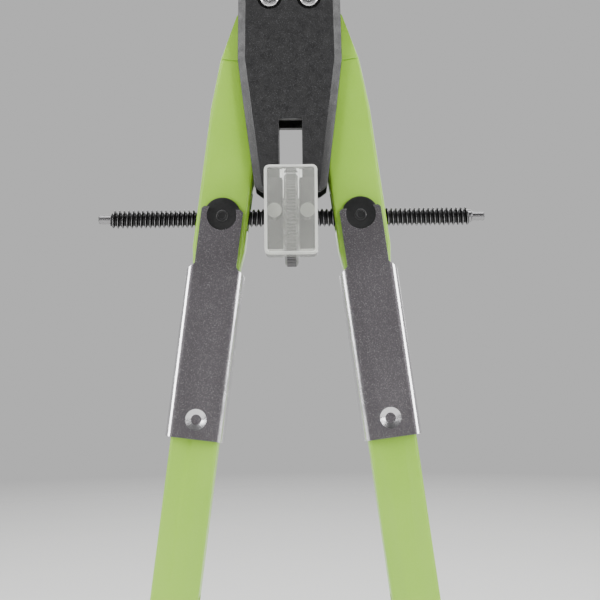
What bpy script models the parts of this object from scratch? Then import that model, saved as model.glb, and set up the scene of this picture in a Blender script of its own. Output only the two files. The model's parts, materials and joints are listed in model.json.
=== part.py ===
"""Quick-set bow compass.

The compass is upright, as the hand holds it in use. The origin is in the middle of the handle's
grip, +Z runs up the handle, X runs along the spindle and the front faces -Y.

The legs turn on two pivots and mesh there through gear teeth, so they open evenly. Two round
half-nuts in the legs ride on a spindle with a right-hand and a left-hand thread. A guide that
slides in the slots of the head keeps the spindle level. Each leg carries a release lever, whose
fork lets the half-nut off the thread when the lever's lower end is pressed.

Sizes are in millimetres and are scaled to metres when a piece is made.
"""

import math

import bmesh
import bpy
from mathutils import Matrix, Vector

MM = 0.001
TINY = 1e-6

# Clearances
RUNNING = 0.05  # radial, round pieces that turn or slide in one another
SEAT = 0.08  # between faces that lie on each other
LOOSE = 0.15  # beside moving sheet metal
OVERCUT = 1.0  # how far a cutter runs past the face it goes in through
THROUGH = 20.0  # a cutter's reach where it goes right through a piece

# Legs
LEG_THICK = 5.2
LEG_HUB_THICK = 3.8
LEG_WIDTH = 8.1
LEG_NUT_EXTRA = 0.4  # a leg is this much wider on each side round its half-nut
LEG_INNER_REACH = 0.99  # the inner edge lies this far past the pivot, towards the middle
LEG_EDGE = 0.7  # rounding along the faces' edges
LEG_BLEND_START = 5.5  # below the half-nut, where the wider stretch begins to narrow
LEG_BLEND_END = 8.5
LEG_TOP_INNER = 2.0  # below the pivot, where the inner edge ends
LEG_BROW = [(0.1, 20.0), (0.7, 11.35), (2.5, 3.3)]  # in from the outer edge, down from the pivot
LEG_CROWN = [(3.0, 1.4), (1.2, 2.4)]  # out from the pivot, up from it
SHOULDER_DOWN = 11.35  # the faces slope back to the hub above this
SHOULDER_LONG = 5.0
GEAR_TEETH = 12
GEAR_BACKLASH = 0.14
GEAR_PRESSURE = math.radians(25.0)
GEAR_TIP = 0.9  # in modules, outside the pitch circle
GEAR_ROOT = 1.15  # in modules, inside the pitch circle
FLANK_STEPS = 4

# Linkage
PIVOT_X = 3.39  # half the distance between the two pivots
LEG_OFFSET = LEG_WIDTH / 2 + LEG_NUT_EXTRA - LEG_INNER_REACH  # from the pivot to the centreline
NUT_DOWN = 38.44  # from the pivot down along the leg to the half-nut
KNEE_DOWN = 108.0  # from the pivot down along the leg to the knee
ARM_LENGTH = 36.0  # from the knee to the point
REST_ANGLE = math.radians(7.45)  # each leg's lean at rest
WIDEST_LEAN = math.radians(34.0)  # each leg's lean at full opening

# Screws and nuts
SCREW_RADIUS = 1.25
SCREW_HEAD_RADIUS = 1.7
SCREW_EDGE = 0.25
SCREW_PROUD = 0.3  # a screw's end stands this far out of its nut
HEX_RADIUS = 2.6
HEX_THICK = 1.6
WASHER_RADIUS = 2.5

# Spindle and wheel
SPINDLE_HALF = 33.4
STUB_LENGTH = 1.95
THREAD_RADIUS = 1.6
THREAD_CHAMFER = 0.4
STUB_RADIUS = 0.8
STUB_CHAMFER = 0.2
WHEEL_RADIUS = 8.5
WHEEL_THICK = 2.4
WHEEL_CHAMFER_WIDE = 0.5
WHEEL_CHAMFER_DEEP = 0.4

# Head
HEAD_PLATE_THICK = 1.6
HEAD_CHAMFER_WIDE = 1.3
HEAD_CHAMFER_DEEP = 0.7
HEAD_TOP = 9.0  # above the pivots
HEAD_BOTTOM = NUT_DOWN - 4.77  # below the pivots
HEAD_BOTTOM_HALF = 6.2
HEAD_BOTTOM_CORNER = (1.2, 0.9)  # across and up
HEAD_FLARE = (7.96, 14.5)  # half width, and height above the bottom edge
HEAD_WIDEST = 8.96
HEAD_WIDEST_UP = 23.0  # above the bottom edge
HEAD_PIVOT_HALF = 8.78  # half width at the pivots
HEAD_SHOULDER = (7.36, 2.5)  # half width, and depth below the top edge
HEAD_TOP_HALF = 5.56
SLOT_HALF = 2.0
SLOT_SPARE = 0.26  # above the wheel when the legs are at their widest
COUNTERBORE_RADIUS = 2.2
COUNTERBORE_DEPTH = 0.9
HEAD_SCREW_RADIUS = 0.8
HEAD_SCREW_HEAD = 1.4
HEAD_SCREW_HEAD_THICK = 0.7
HEAD_SCREW_X = 2.9
HEAD_SCREW_UP = 6.9  # above the pivots
SPACER_BOTTOM = 5.2  # above the pivots

# Handle
HANDLE_RADIUS = 4.0
HANDLE_LENGTH = 19.5
HANDLE_NECK_OVER = 0.15  # the neck reaches this far over the plates
HANDLE_NECK_LENGTH = 2.2
HANDLE_STEP = 0.5
HANDLE_END = 1.0  # rounding of the top
STUD_RADIUS = 1.5
STUD_IN_GRIP = 13.0
STUD_SPARE = 0.2
STUD_UP = 0.4  # the stud starts this far above the spacer's lower face

# Guard and guide
CHEEK_THICK = 0.5
CHEEK_WEB_HALF = 3.0
FOOT_THICK = 0.6
FOOT_STEP = 0.1  # the feet are narrower than the guard, and the web shorter than the feet
FOOT_SHORT = 1.4  # the feet stop this far below their guard's top
DOWEL_RADIUS = 0.6
DOWEL_WALL = 0.41
PEG_RADIUS = 1.2
PEG_WALL = 0.45
SPIGOT_RADIUS = 0.7
GUARD_HEIGHT = 14.9
REAR_GUARD_HEIGHT = 10.4
GUARD_CORNER = 0.8
GUARD_EDGE = 0.38
GUARD_FACE_WALL = 1.0
GUARD_SLOT_PLAY = 0.25  # on each side of the wheel
WHEEL_POCKET = 0.4  # round the wheel's rim

# Half-nut and its bush
NUT_RADIUS = 2.55
NUT_FLANGE_RADIUS = 3.2
NUT_FLANGE_THICK = 0.5
NUT_EDGE = 0.2
NUT_BOSS_RADIUS = 1.0
NUT_BOSS_HIGH = 0.2
NUT_TAIL = 0.75  # behind the bush's seat
NUT_LIFT = 0.65
BUSH_WALL = 0.5
BUSH_FLANGE_RADIUS = 3.8
BUSH_FLANGE_THICK = 0.45
WINDOW_PAST = 0.6  # the spindle's way is worked out this far past the leg's edges

# Release lever
LEVER_SHEET = 0.7
LEVER_BEND = 1.3  # outer radius of the bends
LEVER_GAP = 0.12  # behind the sheet, over the half-nut's flange
LEVER_HINGE_BELOW_NUT = 20.06
LEVER_HINGE_Y = -0.6
LEVER_TOP_ABOVE_NUT = 1.24
LEVER_SHOULDER_BELOW_NUT = 9.76
LEVER_SHOULDER_TALL = 1.2
LEVER_BOTTOM_BELOW_NUT = 38.06
LEVER_CORNER = 0.4
LEVER_TAB_HALF = 3.55
LEVER_FLANGE_BACK = 0.9
LEVER_PIN_RADIUS = 0.75
FORK_RADIUS = 2.55
DIMPLE_ABOVE_BOTTOM = 3.3
DIMPLE_RADIUS = 1.8
DIMPLE_FLAT_RADIUS = 0.88
DIMPLE_FLAT_EDGE = 0.1
DIMPLE_ROOT = 0.2  # how deep the pressed dish starts in the sheet
DIMPLE_DEPTH = 0.45
SPRING_WIRE = 0.2
SPRING_RADIUS = 1.35
SPRING_TURNS = 4
SPRING_STEPS = 10
POCKET_RADIUS = 2.0
POCKET_DEPTH = 3.9

# Knee and arms
KNEE_SLOT = 2.6
KNEE_SLOT_ABOVE = 1.4  # above the arm's tongue
KNEE_HEAD_RADIUS = 2.3
KNEE_HEAD_THICK = 1.0
KNEE_HEAD_EDGE = 0.4
ARM_TONGUE_RADIUS = 3.8
ARM_TONGUE_ROOT = 2.8
ARM_TOP_GAP = 0.8  # between the leg's end and the arm's shoulder
ARM_HALF_TOP = 3.0
ARM_HALF_LOW = 2.1
ARM_STRAIGHT = 4.0
ARM_TAPER_END = 15.0
ARM_THICK = 4.2
ARM_EDGE = 0.5
ARM_SOCKET_END = 29.0
POINT_INSIDE = 13.0  # length of needle or lead held inside its arm
POINT_SPARE = 0.3
NEEDLE_RADIUS = 0.6
NEEDLE_NECK = 0.35
NEEDLE_TIP = [1.4, 2.6, 3.0]  # cone, neck and shoulder, up from the point
LEAD_RADIUS = 1.0
LEAD_FLAT = (0.12, 0.1)  # radius and height of the worn tip
LEAD_CONE = 2.6
CLAMP_DOWN = 25.0
CLAMP_SCREW_RADIUS = 0.8
CLAMP_GAP = 0.4
CLAMP_BOSS_RADIUS = 1.5
CLAMP_HEAD_RADIUS = 2.4
CLAMP_HEAD_THICK = 2.8
CLAMP_HEAD_EDGE = 0.4

# Derived sizes and places
LEG_HALF = LEG_THICK / 2
LEG_NUT_HALF = LEG_WIDTH / 2 + LEG_NUT_EXTRA
PIVOT_Z = -(HEAD_TOP + SEAT + HANDLE_LENGTH / 2)
KNEE_Z = PIVOT_Z - KNEE_DOWN * math.cos(REST_ANGLE) + LEG_OFFSET * math.sin(REST_ANGLE)
POINT_Z = KNEE_Z - ARM_LENGTH
KNEE_X = PIVOT_X + KNEE_DOWN * math.sin(REST_ANGLE) + LEG_OFFSET * math.cos(REST_ANGLE)
SPINDLE_Z = PIVOT_Z - NUT_DOWN * math.cos(REST_ANGLE) + LEG_OFFSET * math.sin(REST_ANGLE)
NUT_X = PIVOT_X + NUT_DOWN * math.sin(REST_ANGLE) + LEG_OFFSET * math.cos(REST_ANGLE)
THREAD_HALF = SPINDLE_HALF - STUB_LENGTH
HIGHEST_SPINDLE = NUT_DOWN * math.cos(WIDEST_LEAN) - LEG_OFFSET * math.sin(WIDEST_LEAN)
SLOT_TOP = HIGHEST_SPINDLE - WHEEL_RADIUS - SLOT_SPARE  # below the pivots
PLATE_IN = LEG_HALF + LOOSE
PLATE_OUT = PLATE_IN + HEAD_PLATE_THICK
HANDLE_NECK_RADIUS = PLATE_IN + HANDLE_NECK_OVER
FOOT_IN = PLATE_OUT + LOOSE
FOOT_OUT = FOOT_IN + FOOT_THICK
GUARD_HALF = PIVOT_X + DOWEL_RADIUS + DOWEL_WALL
GUARD_SLOT_HALF = WHEEL_THICK / 2 + GUARD_SLOT_PLAY
GUARD_REACH = WHEEL_RADIUS + WHEEL_POCKET + GUARD_FACE_WALL  # from the spindle to the face
PEG_X = GUARD_HALF - PEG_RADIUS - PEG_WALL
LEVER_IN = LEG_HALF + SEAT + NUT_FLANGE_THICK + LEVER_GAP
LEVER_OUT = LEVER_IN + LEVER_SHEET
LEVER_HALF = LEG_WIDTH / 2 + LOOSE + LEVER_SHEET
LEVER_HINGE_DOWN = NUT_DOWN + LEVER_HINGE_BELOW_NUT
LEVER_BOTTOM_DOWN = NUT_DOWN + LEVER_BOTTOM_BELOW_NUT
DIMPLE_DOWN = LEVER_BOTTOM_DOWN - DIMPLE_ABOVE_BOTTOM
ROUND = 24  # sides of round pieces
FINE_ROUND = 48


# ---- meshes -------------------------------------------------------------------------------


def prism(outline, start, end, axis="Y"):
    """A flat outline extruded along an axis; its points give the other two coordinates."""
    order = {"X": (2, 0, 1), "Y": (0, 2, 1), "Z": (0, 1, 2)}[axis]

    def placed(*values):
        return [values[i] for i in order]

    bm = bmesh.new()
    face = bm.faces.new([bm.verts.new(placed(u, v, start)) for u, v in outline])
    grown = bmesh.ops.extrude_face_region(bm, geom=[face])["geom"]
    far = [item for item in grown if isinstance(item, bmesh.types.BMVert)]
    bmesh.ops.translate(bm, verts=far, vec=placed(0, 0, end - start))
    bmesh.ops.recalc_face_normals(bm, faces=bm.faces)
    return bm


def turned(profile, axis="Z", sides=ROUND, ring=False):
    """A profile of (radius, height) points, spun about an axis; a ring's profile is closed."""
    bm = bmesh.new()
    verts = [bm.verts.new((radius, 0, height)) for radius, height in profile]
    edges = [bm.edges.new(pair) for pair in zip(verts, verts[1:])]
    if ring:
        edges.append(bm.edges.new((verts[-1], verts[0])))
    bmesh.ops.spin(bm, geom=verts + edges, axis=(0, 0, 1), cent=(0, 0, 0), steps=sides,
                   angle=math.tau, use_merge=True)
    bmesh.ops.remove_doubles(bm, verts=bm.verts, dist=10 * TINY)
    bmesh.ops.recalc_face_normals(bm, faces=bm.faces)
    turn = {"X": Matrix.Rotation(math.radians(90), 3, "Y"),
            "Y": Matrix.Rotation(math.radians(-90), 3, "X"), "Z": Matrix.Identity(3)}[axis]
    bmesh.ops.rotate(bm, verts=bm.verts, matrix=turn)
    return bm


def rod(radius, start, end, axis="Y", sides=ROUND):
    return turned([(0, start), (radius, start), (radius, end), (0, end)], axis, sides)


def tube(inner, outer, start, end, axis="Y"):
    return turned([(inner, start), (outer, start), (outer, end), (inner, end)], axis, ring=True)


def arc(centre, radius, start, end, steps):
    """Points of an arc about (x, z), from one angle in degrees to another."""
    angles = [math.radians(start + (end - start) * i / steps) for i in range(steps + 1)]
    return [(centre[0] + radius * math.cos(a), centre[1] + radius * math.sin(a)) for a in angles]


def mirrored(outline, side):
    return [(side * x, z) for x, z in outline]


def shifted(bm, by):
    bmesh.ops.translate(bm, verts=bm.verts, vec=by)
    return bm


def together(*meshes):
    """Several bodies that don't touch, in one mesh."""
    whole = bmesh.new()
    for bm in meshes:
        copy = bpy.data.meshes.new("copy")
        bm.to_mesh(copy)
        bm.free()
        whole.from_mesh(copy)
        bpy.data.meshes.remove(copy)
    return whole


# ---- objects ------------------------------------------------------------------------------


def material(name, colour, roughness, metallic):
    mat = bpy.data.materials.new(name)
    mat.use_nodes = True
    shader = mat.node_tree.nodes["Principled BSDF"]
    shader.inputs["Base Color"].default_value = (*colour, 1)
    shader.inputs["Roughness"].default_value = roughness
    shader.inputs["Metallic"].default_value = metallic
    mat.diffuse_color = (*colour, 1)
    return mat


FINISHES = {
    "green_paint": ((0.38, 0.55, 0.19), 0.35, 0.0),
    "charcoal_paint": ((0.03, 0.03, 0.033), 0.55, 0.0),
    "steel": ((0.62, 0.61, 0.62), 0.25, 1.0),
    "satin_steel": ((0.42, 0.4, 0.42), 0.45, 1.0),
    "black_plastic": ((0.015, 0.015, 0.016), 0.4, 0.0),
    "milky_plastic": ((0.8, 0.82, 0.8), 0.35, 0.0),
    "graphite": ((0.05, 0.05, 0.055), 0.5, 0.2),
}


def piece(name, bm, finish, at=(0, 0, 0), lean=0.0, smooth=True):
    """An object whose mesh is about its own origin, placed at a point and leaned about Y."""
    bmesh.ops.scale(bm, verts=bm.verts, vec=(MM, MM, MM))
    mesh = bpy.data.meshes.new(name)
    bm.to_mesh(mesh)
    bm.free()
    if smooth:
        mesh.shade_smooth()
        mesh.set_sharp_from_angle(angle=math.radians(35))
    obj = bpy.data.objects.new(name, mesh)
    bpy.context.collection.objects.link(obj)
    obj.location = Vector(at) * MM
    obj.rotation_euler.y = lean
    if finish:
        obj.data.materials.append(material(name, *FINISHES[finish]))
    return obj


def combine(target, bm, operation, smooth=False):
    """Join a mesh to a piece, or cut it away; the mesh is in the piece's own frame."""
    tool = piece(target.name + "_tool", bm, None, smooth=smooth)
    tool.location = target.location
    tool.rotation_euler = target.rotation_euler
    tool.hide_render = True
    tool.hide_set(True)
    tool.display_type = "WIRE"
    step = target.modifiers.new(tool.name, "BOOLEAN")
    step.operation = operation
    step.solver = "EXACT"
    step.object = tool


def cut(target, *meshes):
    combine(target, together(*meshes), "DIFFERENCE")


def join(target, bm):
    combine(target, bm, "UNION")


def in_leg(across, down, y=0.0, side=1):
    """A point of a leg's own frame, given across from its centreline and down from its pivot."""
    return (side * (LEG_OFFSET + across), y, -down)


# ---- head ---------------------------------------------------------------------------------


def plate_outline():
    across, up = HEAD_BOTTOM_CORNER
    right = [
        (HEAD_BOTTOM_HALF - across, -HEAD_BOTTOM),
        (HEAD_BOTTOM_HALF, -HEAD_BOTTOM + up),
        (HEAD_FLARE[0], -HEAD_BOTTOM + HEAD_FLARE[1]),
        (HEAD_WIDEST, -HEAD_BOTTOM + HEAD_WIDEST_UP),
        (HEAD_PIVOT_HALF, 0.0),
        (HEAD_SHOULDER[0], HEAD_TOP - HEAD_SHOULDER[1]),
        (HEAD_TOP_HALF, HEAD_TOP),
    ]
    return right + [(-x, z) for x, z in reversed(right)]


def head_plate(name, facing):
    """A slotted plate with sloping sides; facing is -1 for the front and +1 for the rear."""
    waist = facing * (PLATE_OUT - HEAD_CHAMFER_DEEP)
    bm = prism(plate_outline(), facing * PLATE_IN, waist)
    outer = [f for f in bm.faces if all(abs(v.co.y - waist) < TINY for v in f.verts)]
    grown = bmesh.ops.extrude_face_region(bm, geom=outer)["geom"]
    rim = [item for item in grown if isinstance(item, bmesh.types.BMVert)]
    for vert in rim:
        vert.co.y = facing * PLATE_OUT
        vert.co.x -= math.copysign(HEAD_CHAMFER_WIDE, vert.co.x)
    bmesh.ops.delete(bm, geom=[f for f in outer if f.is_valid], context="FACES_ONLY")
    bmesh.ops.recalc_face_normals(bm, faces=bm.faces)
    plate = piece(name, bm, "charcoal_paint", (0, 0, PIVOT_Z), smooth=False)
    open_end = -HEAD_BOTTOM - OVERCUT
    slot = [(-SLOT_HALF, -SLOT_TOP), (SLOT_HALF, -SLOT_TOP), (SLOT_HALF, open_end),
            (-SLOT_HALF, open_end)]
    inside = facing * (PLATE_IN - OVERCUT)
    outside = facing * (PLATE_OUT + OVERCUT)
    cut(plate, prism(slot, inside, outside))
    bore = SCREW_RADIUS + RUNNING
    sunk = facing * (PLATE_OUT - COUNTERBORE_DEPTH)
    stepped = [(0, inside), (bore, inside), (bore, sunk), (COUNTERBORE_RADIUS, sunk),
               (COUNTERBORE_RADIUS, outside), (0, outside)]
    holes = []
    for side in (-1, 1):
        hole = turned(stepped, "Y") if facing < 0 else rod(bore, inside, outside)
        holes.append(shifted(hole, (side * PIVOT_X, 0, 0)))
        hole = rod(HEAD_SCREW_RADIUS + RUNNING, inside, outside)
        holes.append(shifted(hole, (side * HEAD_SCREW_X, 0, HEAD_SCREW_UP)))
    cut(plate, *holes)


def head():
    head_plate("head_front_plate", -1)
    head_plate("head_rear_plate", 1)
    half = HEAD_TOP_HALF
    block = [(-half, SPACER_BOTTOM), (half, SPACER_BOTTOM), (half, HEAD_TOP), (-half, HEAD_TOP)]
    depth = PLATE_IN - SEAT
    spacer = piece("head_spacer", prism(block, -depth, depth), "charcoal_paint", (0, 0, PIVOT_Z),
                   smooth=False)
    for side, word in ((-1, "left"), (1, "right")):
        place = (side * HEAD_SCREW_X, 0, HEAD_SCREW_UP)
        cut(spacer, shifted(rod(HEAD_SCREW_RADIUS + RUNNING, -THROUGH, THROUGH), place))
        head_screw("head_screw_" + word, side)
    cut(spacer, rod(STUD_RADIUS + RUNNING, SPACER_BOTTOM - OVERCUT, HEAD_TOP + OVERCUT, "Z"))


def head_screw(name, side):
    seat = -PLATE_OUT - SEAT
    face = seat - HEAD_SCREW_HEAD_THICK
    profile = [(0, face), (HEAD_SCREW_HEAD - SCREW_EDGE, face),
               (HEAD_SCREW_HEAD, face + SCREW_EDGE), (HEAD_SCREW_HEAD, seat),
               (HEAD_SCREW_RADIUS, seat), (HEAD_SCREW_RADIUS, PLATE_OUT), (0, PLATE_OUT)]
    at = (side * HEAD_SCREW_X, 0, PIVOT_Z + HEAD_SCREW_UP)
    piece(name, turned(profile, "Y"), "steel", at)


def hex_nut(name, start, at, lean=0.0):
    hexagon = arc((0, 0), HEX_RADIUS, 0, 300, 5)
    nut = piece(name, prism(hexagon, start, start + HEX_THICK), "steel", at, lean, smooth=False)
    cut(nut, rod(SCREW_RADIUS + RUNNING, start - OVERCUT, start + HEX_THICK + OVERCUT))


def pivots():
    washer_out = PLATE_IN - SEAT
    washer_in = LEG_HUB_THICK / 2 + SEAT
    seat = -(PLATE_OUT - COUNTERBORE_DEPTH) - SEAT
    nut_in = PLATE_OUT + SEAT
    tail = nut_in + HEX_THICK + SCREW_PROUD
    for side, word in ((-1, "left"), (1, "right")):
        at = (side * PIVOT_X, 0, PIVOT_Z)
        profile = [(0, -PLATE_OUT), (SCREW_HEAD_RADIUS - SCREW_EDGE, -PLATE_OUT),
                   (SCREW_HEAD_RADIUS, -PLATE_OUT + SCREW_EDGE), (SCREW_HEAD_RADIUS, seat),
                   (SCREW_RADIUS, seat), (SCREW_RADIUS, tail), (0, tail)]
        piece("pivot_screw_" + word, turned(profile, "Y"), "steel", at)
        hex_nut("pivot_nut_" + word, nut_in, at)
        for facing, end in ((-1, "front"), (1, "rear")):
            ring = tube(SCREW_RADIUS + RUNNING, WASHER_RADIUS, facing * washer_in,
                        facing * washer_out)
            piece(f"pivot_washer_{end}_{word}", ring, "steel", at)


def handle():
    base = HEAD_TOP + SEAT
    start = SPACER_BOTTOM + STUD_UP
    end = base + STUD_IN_GRIP
    profile = [(0, start), (STUD_RADIUS, start), (STUD_RADIUS, end), (0, end)]
    piece("handle_stud", turned(profile), "steel", (0, 0, PIVOT_Z))
    top = base + HANDLE_LENGTH
    neck = base + HANDLE_NECK_LENGTH
    bore = STUD_RADIUS + RUNNING
    bore_end = end + STUD_SPARE
    profile = [(0, bore_end), (bore, bore_end), (bore, base),
               (HANDLE_NECK_RADIUS - SCREW_EDGE, base), (HANDLE_NECK_RADIUS, base + SCREW_EDGE),
               (HANDLE_NECK_RADIUS, neck), (HANDLE_RADIUS - HANDLE_STEP, neck + HANDLE_STEP),
               (HANDLE_RADIUS, neck + 2 * HANDLE_STEP), (HANDLE_RADIUS, top - HANDLE_END)]
    profile += arc((HANDLE_RADIUS - HANDLE_END, top - HANDLE_END), HANDLE_END, 30, 90, 2)
    piece("handle_grip", turned(profile + [(0, top)]), "black_plastic", (0, 0, PIVOT_Z))


# ---- legs ---------------------------------------------------------------------------------


def gear_outline(phase):
    """An involute gear of pitch radius PIVOT_X; phase turns it by that share of a tooth."""
    pitch = PIVOT_X
    base = pitch * math.cos(GEAR_PRESSURE)
    module = 2 * pitch / GEAR_TEETH
    tip = pitch + GEAR_TIP * module
    root = pitch - GEAR_ROOT * module
    half = math.pi / (2 * GEAR_TEETH) - GEAR_BACKLASH / (4 * pitch)

    def involute(radius):
        roll = math.sqrt(max(radius * radius / (base * base) - 1, 0))
        return roll - math.atan(roll)

    start = half + math.tan(GEAR_PRESSURE) - GEAR_PRESSURE
    foot = max(base, root)
    radii = [foot + (tip - foot) * i / FLANK_STEPS for i in range(FLANK_STEPS + 1)]
    flank = [(root, start)] + [(r, start - involute(r)) for r in radii]
    outline = []
    for tooth in range(GEAR_TEETH):
        centre = math.tau * (tooth + phase) / GEAR_TEETH
        for radius, angle in flank:
            outline.append((radius, centre - angle))
        for radius, angle in reversed(flank):
            outline.append((radius, centre + angle))
    return [(r * math.cos(a), r * math.sin(a)) for r, a in outline]


def leg_blade():
    inner = LEG_OFFSET - LEG_WIDTH / 2
    outer = LEG_OFFSET + LEG_WIDTH / 2
    wide_inner = LEG_OFFSET - LEG_NUT_HALF
    wide_outer = LEG_OFFSET + LEG_NUT_HALF
    blend_top = NUT_DOWN + LEG_BLEND_START
    blend_end = NUT_DOWN + LEG_BLEND_END
    foot = arc((LEG_OFFSET, -KNEE_DOWN), LEG_WIDTH / 2, 180, 360, 12)
    brow = [(wide_outer - x, -down) for x, down in LEG_BROW]
    return ([(wide_inner, -LEG_TOP_INNER), (wide_inner, -blend_top), (inner, -blend_end)] + foot
            + [(outer, -blend_end), (wide_outer, -blend_top)] + brow + LEG_CROWN)


def leg(name, side):
    bm = prism(mirrored(leg_blade(), side), -LEG_HALF, LEG_HALF)
    rims = [e for e in bm.edges if abs(e.verts[0].co.y - e.verts[1].co.y) < TINY]
    bmesh.ops.bevel(bm, geom=rims, offset=LEG_EDGE, segments=3, profile=0.5, affect="EDGES",
                    material=-1)
    lean = -side * REST_ANGLE
    body = piece(name, bm, "green_paint", (side * PIVOT_X, 0, PIVOT_Z), lean)
    hub = LEG_HUB_THICK / 2
    rise = (LEG_HALF - hub) * OVERCUT / SHOULDER_LONG
    slopes = []
    for facing in (-1, 1):
        wedge = [(facing * (LEG_HALF + rise), -SHOULDER_DOWN - OVERCUT),
                 (facing * hub, -SHOULDER_DOWN + SHOULDER_LONG), (facing * hub, THROUGH),
                 (facing * THROUGH, THROUGH), (facing * THROUGH, -SHOULDER_DOWN - OVERCUT)]
        slopes.append(prism(wedge, -THROUGH, THROUGH, "X"))
    cut(body, *slopes)
    # At rest the contact line of the two gears leans with the leg, and one gear has a tooth on
    # it where the other has a gap.
    lean_share = REST_ANGLE / (math.tau / GEAR_TEETH)
    phase = -lean_share if side < 0 else 0.5 - GEAR_TEETH / 2 + lean_share
    join(body, prism(gear_outline(phase), -hub + RUNNING, hub - RUNNING))
    ends = (-LEG_HALF - OVERCUT, LEG_HALF + OVERCUT)
    bush_hole = rod(NUT_RADIUS + BUSH_WALL + 2 * RUNNING, *ends)
    pin_hole = rod(LEVER_PIN_RADIUS, -THROUGH, THROUGH, "X")
    pocket = rod(POCKET_RADIUS, -LEG_HALF - OVERCUT, -LEG_HALF + POCKET_DEPTH)
    cut(body, rod(SCREW_RADIUS + RUNNING, *ends),
        shifted(bush_hole, in_leg(0, NUT_DOWN, 0, side)),
        shifted(pin_hole, in_leg(0, LEVER_HINGE_DOWN, LEVER_HINGE_Y, side)),
        shifted(pocket, in_leg(0, DIMPLE_DOWN, 0, side)),
        shifted(rod(SCREW_RADIUS + RUNNING, *ends), in_leg(0, KNEE_DOWN, 0, side)))
    top = -KNEE_DOWN + ARM_TONGUE_RADIUS + KNEE_SLOT_ABOVE
    low = -KNEE_DOWN - LEG_WIDTH
    near = LEG_OFFSET - LEG_WIDTH
    far = LEG_OFFSET + LEG_WIDTH
    fork = [(near, top), (far, top), (far, low), (near, low)]
    cut(body, spindle_window(side), prism(mirrored(fork, side), -KNEE_SLOT / 2, KNEE_SLOT / 2))


def spindle_window(side):
    """The way through a leg that the spindle sweeps as the leg leans."""
    reach = LEG_NUT_HALF + WINDOW_PAST
    play = THREAD_RADIUS + LOOSE
    slanted = play / math.cos(WIDEST_LEAN)
    swept = reach * math.tan(WIDEST_LEAN) + slanted
    bow = [(-reach, swept), (0, slanted), (reach, play), (reach, -swept), (0, -slanted),
           (-reach, -play)]
    outline = [(LEG_OFFSET + x, z - NUT_DOWN) for x, z in bow]
    return prism(mirrored(outline, side), -play, play)


# ---- half-nuts ----------------------------------------------------------------------------


def nut_set(word, side):
    at = (side * NUT_X, 0, SPINDLE_Z)
    inner = NUT_RADIUS + RUNNING
    outer = inner + BUSH_WALL
    front = -LEG_HALF + RUNNING
    back = LEG_HALF + SEAT
    flange = back + BUSH_FLANGE_THICK
    profile = [(inner, front), (outer, front), (outer, back), (BUSH_FLANGE_RADIUS, back),
               (BUSH_FLANGE_RADIUS, flange), (inner, flange)]
    bush = piece("nut_bush_" + word, turned(profile, "Y", ring=True), "steel", at)
    cut(bush, rod(THREAD_RADIUS + LOOSE, -THROUGH, THROUGH, "X"))
    seat = -LEG_HALF - SEAT
    face = seat - NUT_FLANGE_THICK
    boss = face - NUT_BOSS_HIGH
    rear = back + NUT_TAIL
    profile = [(0, boss), (NUT_BOSS_RADIUS - NUT_EDGE, boss), (NUT_BOSS_RADIUS, face),
               (NUT_FLANGE_RADIUS - NUT_EDGE, face), (NUT_FLANGE_RADIUS, face + NUT_EDGE),
               (NUT_FLANGE_RADIUS, seat), (NUT_RADIUS, seat), (NUT_RADIUS, rear), (0, rear)]
    nut = piece("half_nut_" + word, turned(profile, "Y"), "black_plastic", at)
    fit = THREAD_RADIUS + RUNNING
    lift = NUT_LIFT + RUNNING
    slot = [(-y, z) for y, z in arc((0, 0), fit, -90, 90, ROUND // 2)]
    slot += [(y, -z) for y, z in arc((lift, 0), fit, -90, 90, ROUND // 2)]
    cut(nut, prism(slot, -THROUGH, THROUGH, "X"))


# ---- release levers -----------------------------------------------------------------------


def bent_section(front, end):
    """The lever's section in (x, y): a flat face with a flange bent back at each side."""
    corner = LEVER_HALF - LEVER_BEND
    across = arc((corner, front + LEVER_BEND), LEVER_BEND, -90, 0, 5)
    inside = arc((corner, front + LEVER_BEND), LEVER_BEND - LEVER_SHEET, 0, -90, 3)
    right = across + [(LEVER_HALF, end), (LEVER_HALF - LEVER_SHEET, end)] + inside
    return right + [(-x, y) for x, y in reversed(right)]


def lever_outline(down):
    """The lever seen from the front: a narrow tab that widens at the shoulders."""
    top = down(NUT_DOWN - LEVER_TOP_ABOVE_NUT)
    shoulder = down(NUT_DOWN + LEVER_SHOULDER_BELOW_NUT)
    low = down(LEVER_BOTTOM_DOWN)
    tab = LEVER_TAB_HALF
    wide = LEVER_HALF + OVERCUT
    slope = LEVER_SHOULDER_TALL / (LEVER_HALF - tab)
    right = [(wide, low - OVERCUT), (wide, shoulder - OVERCUT * slope),
             (tab, shoulder + LEVER_SHOULDER_TALL), (tab, top - LEVER_CORNER),
             (tab - LEVER_CORNER, top)]
    return right + [(-x, z) for x, z in reversed(right)]


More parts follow.
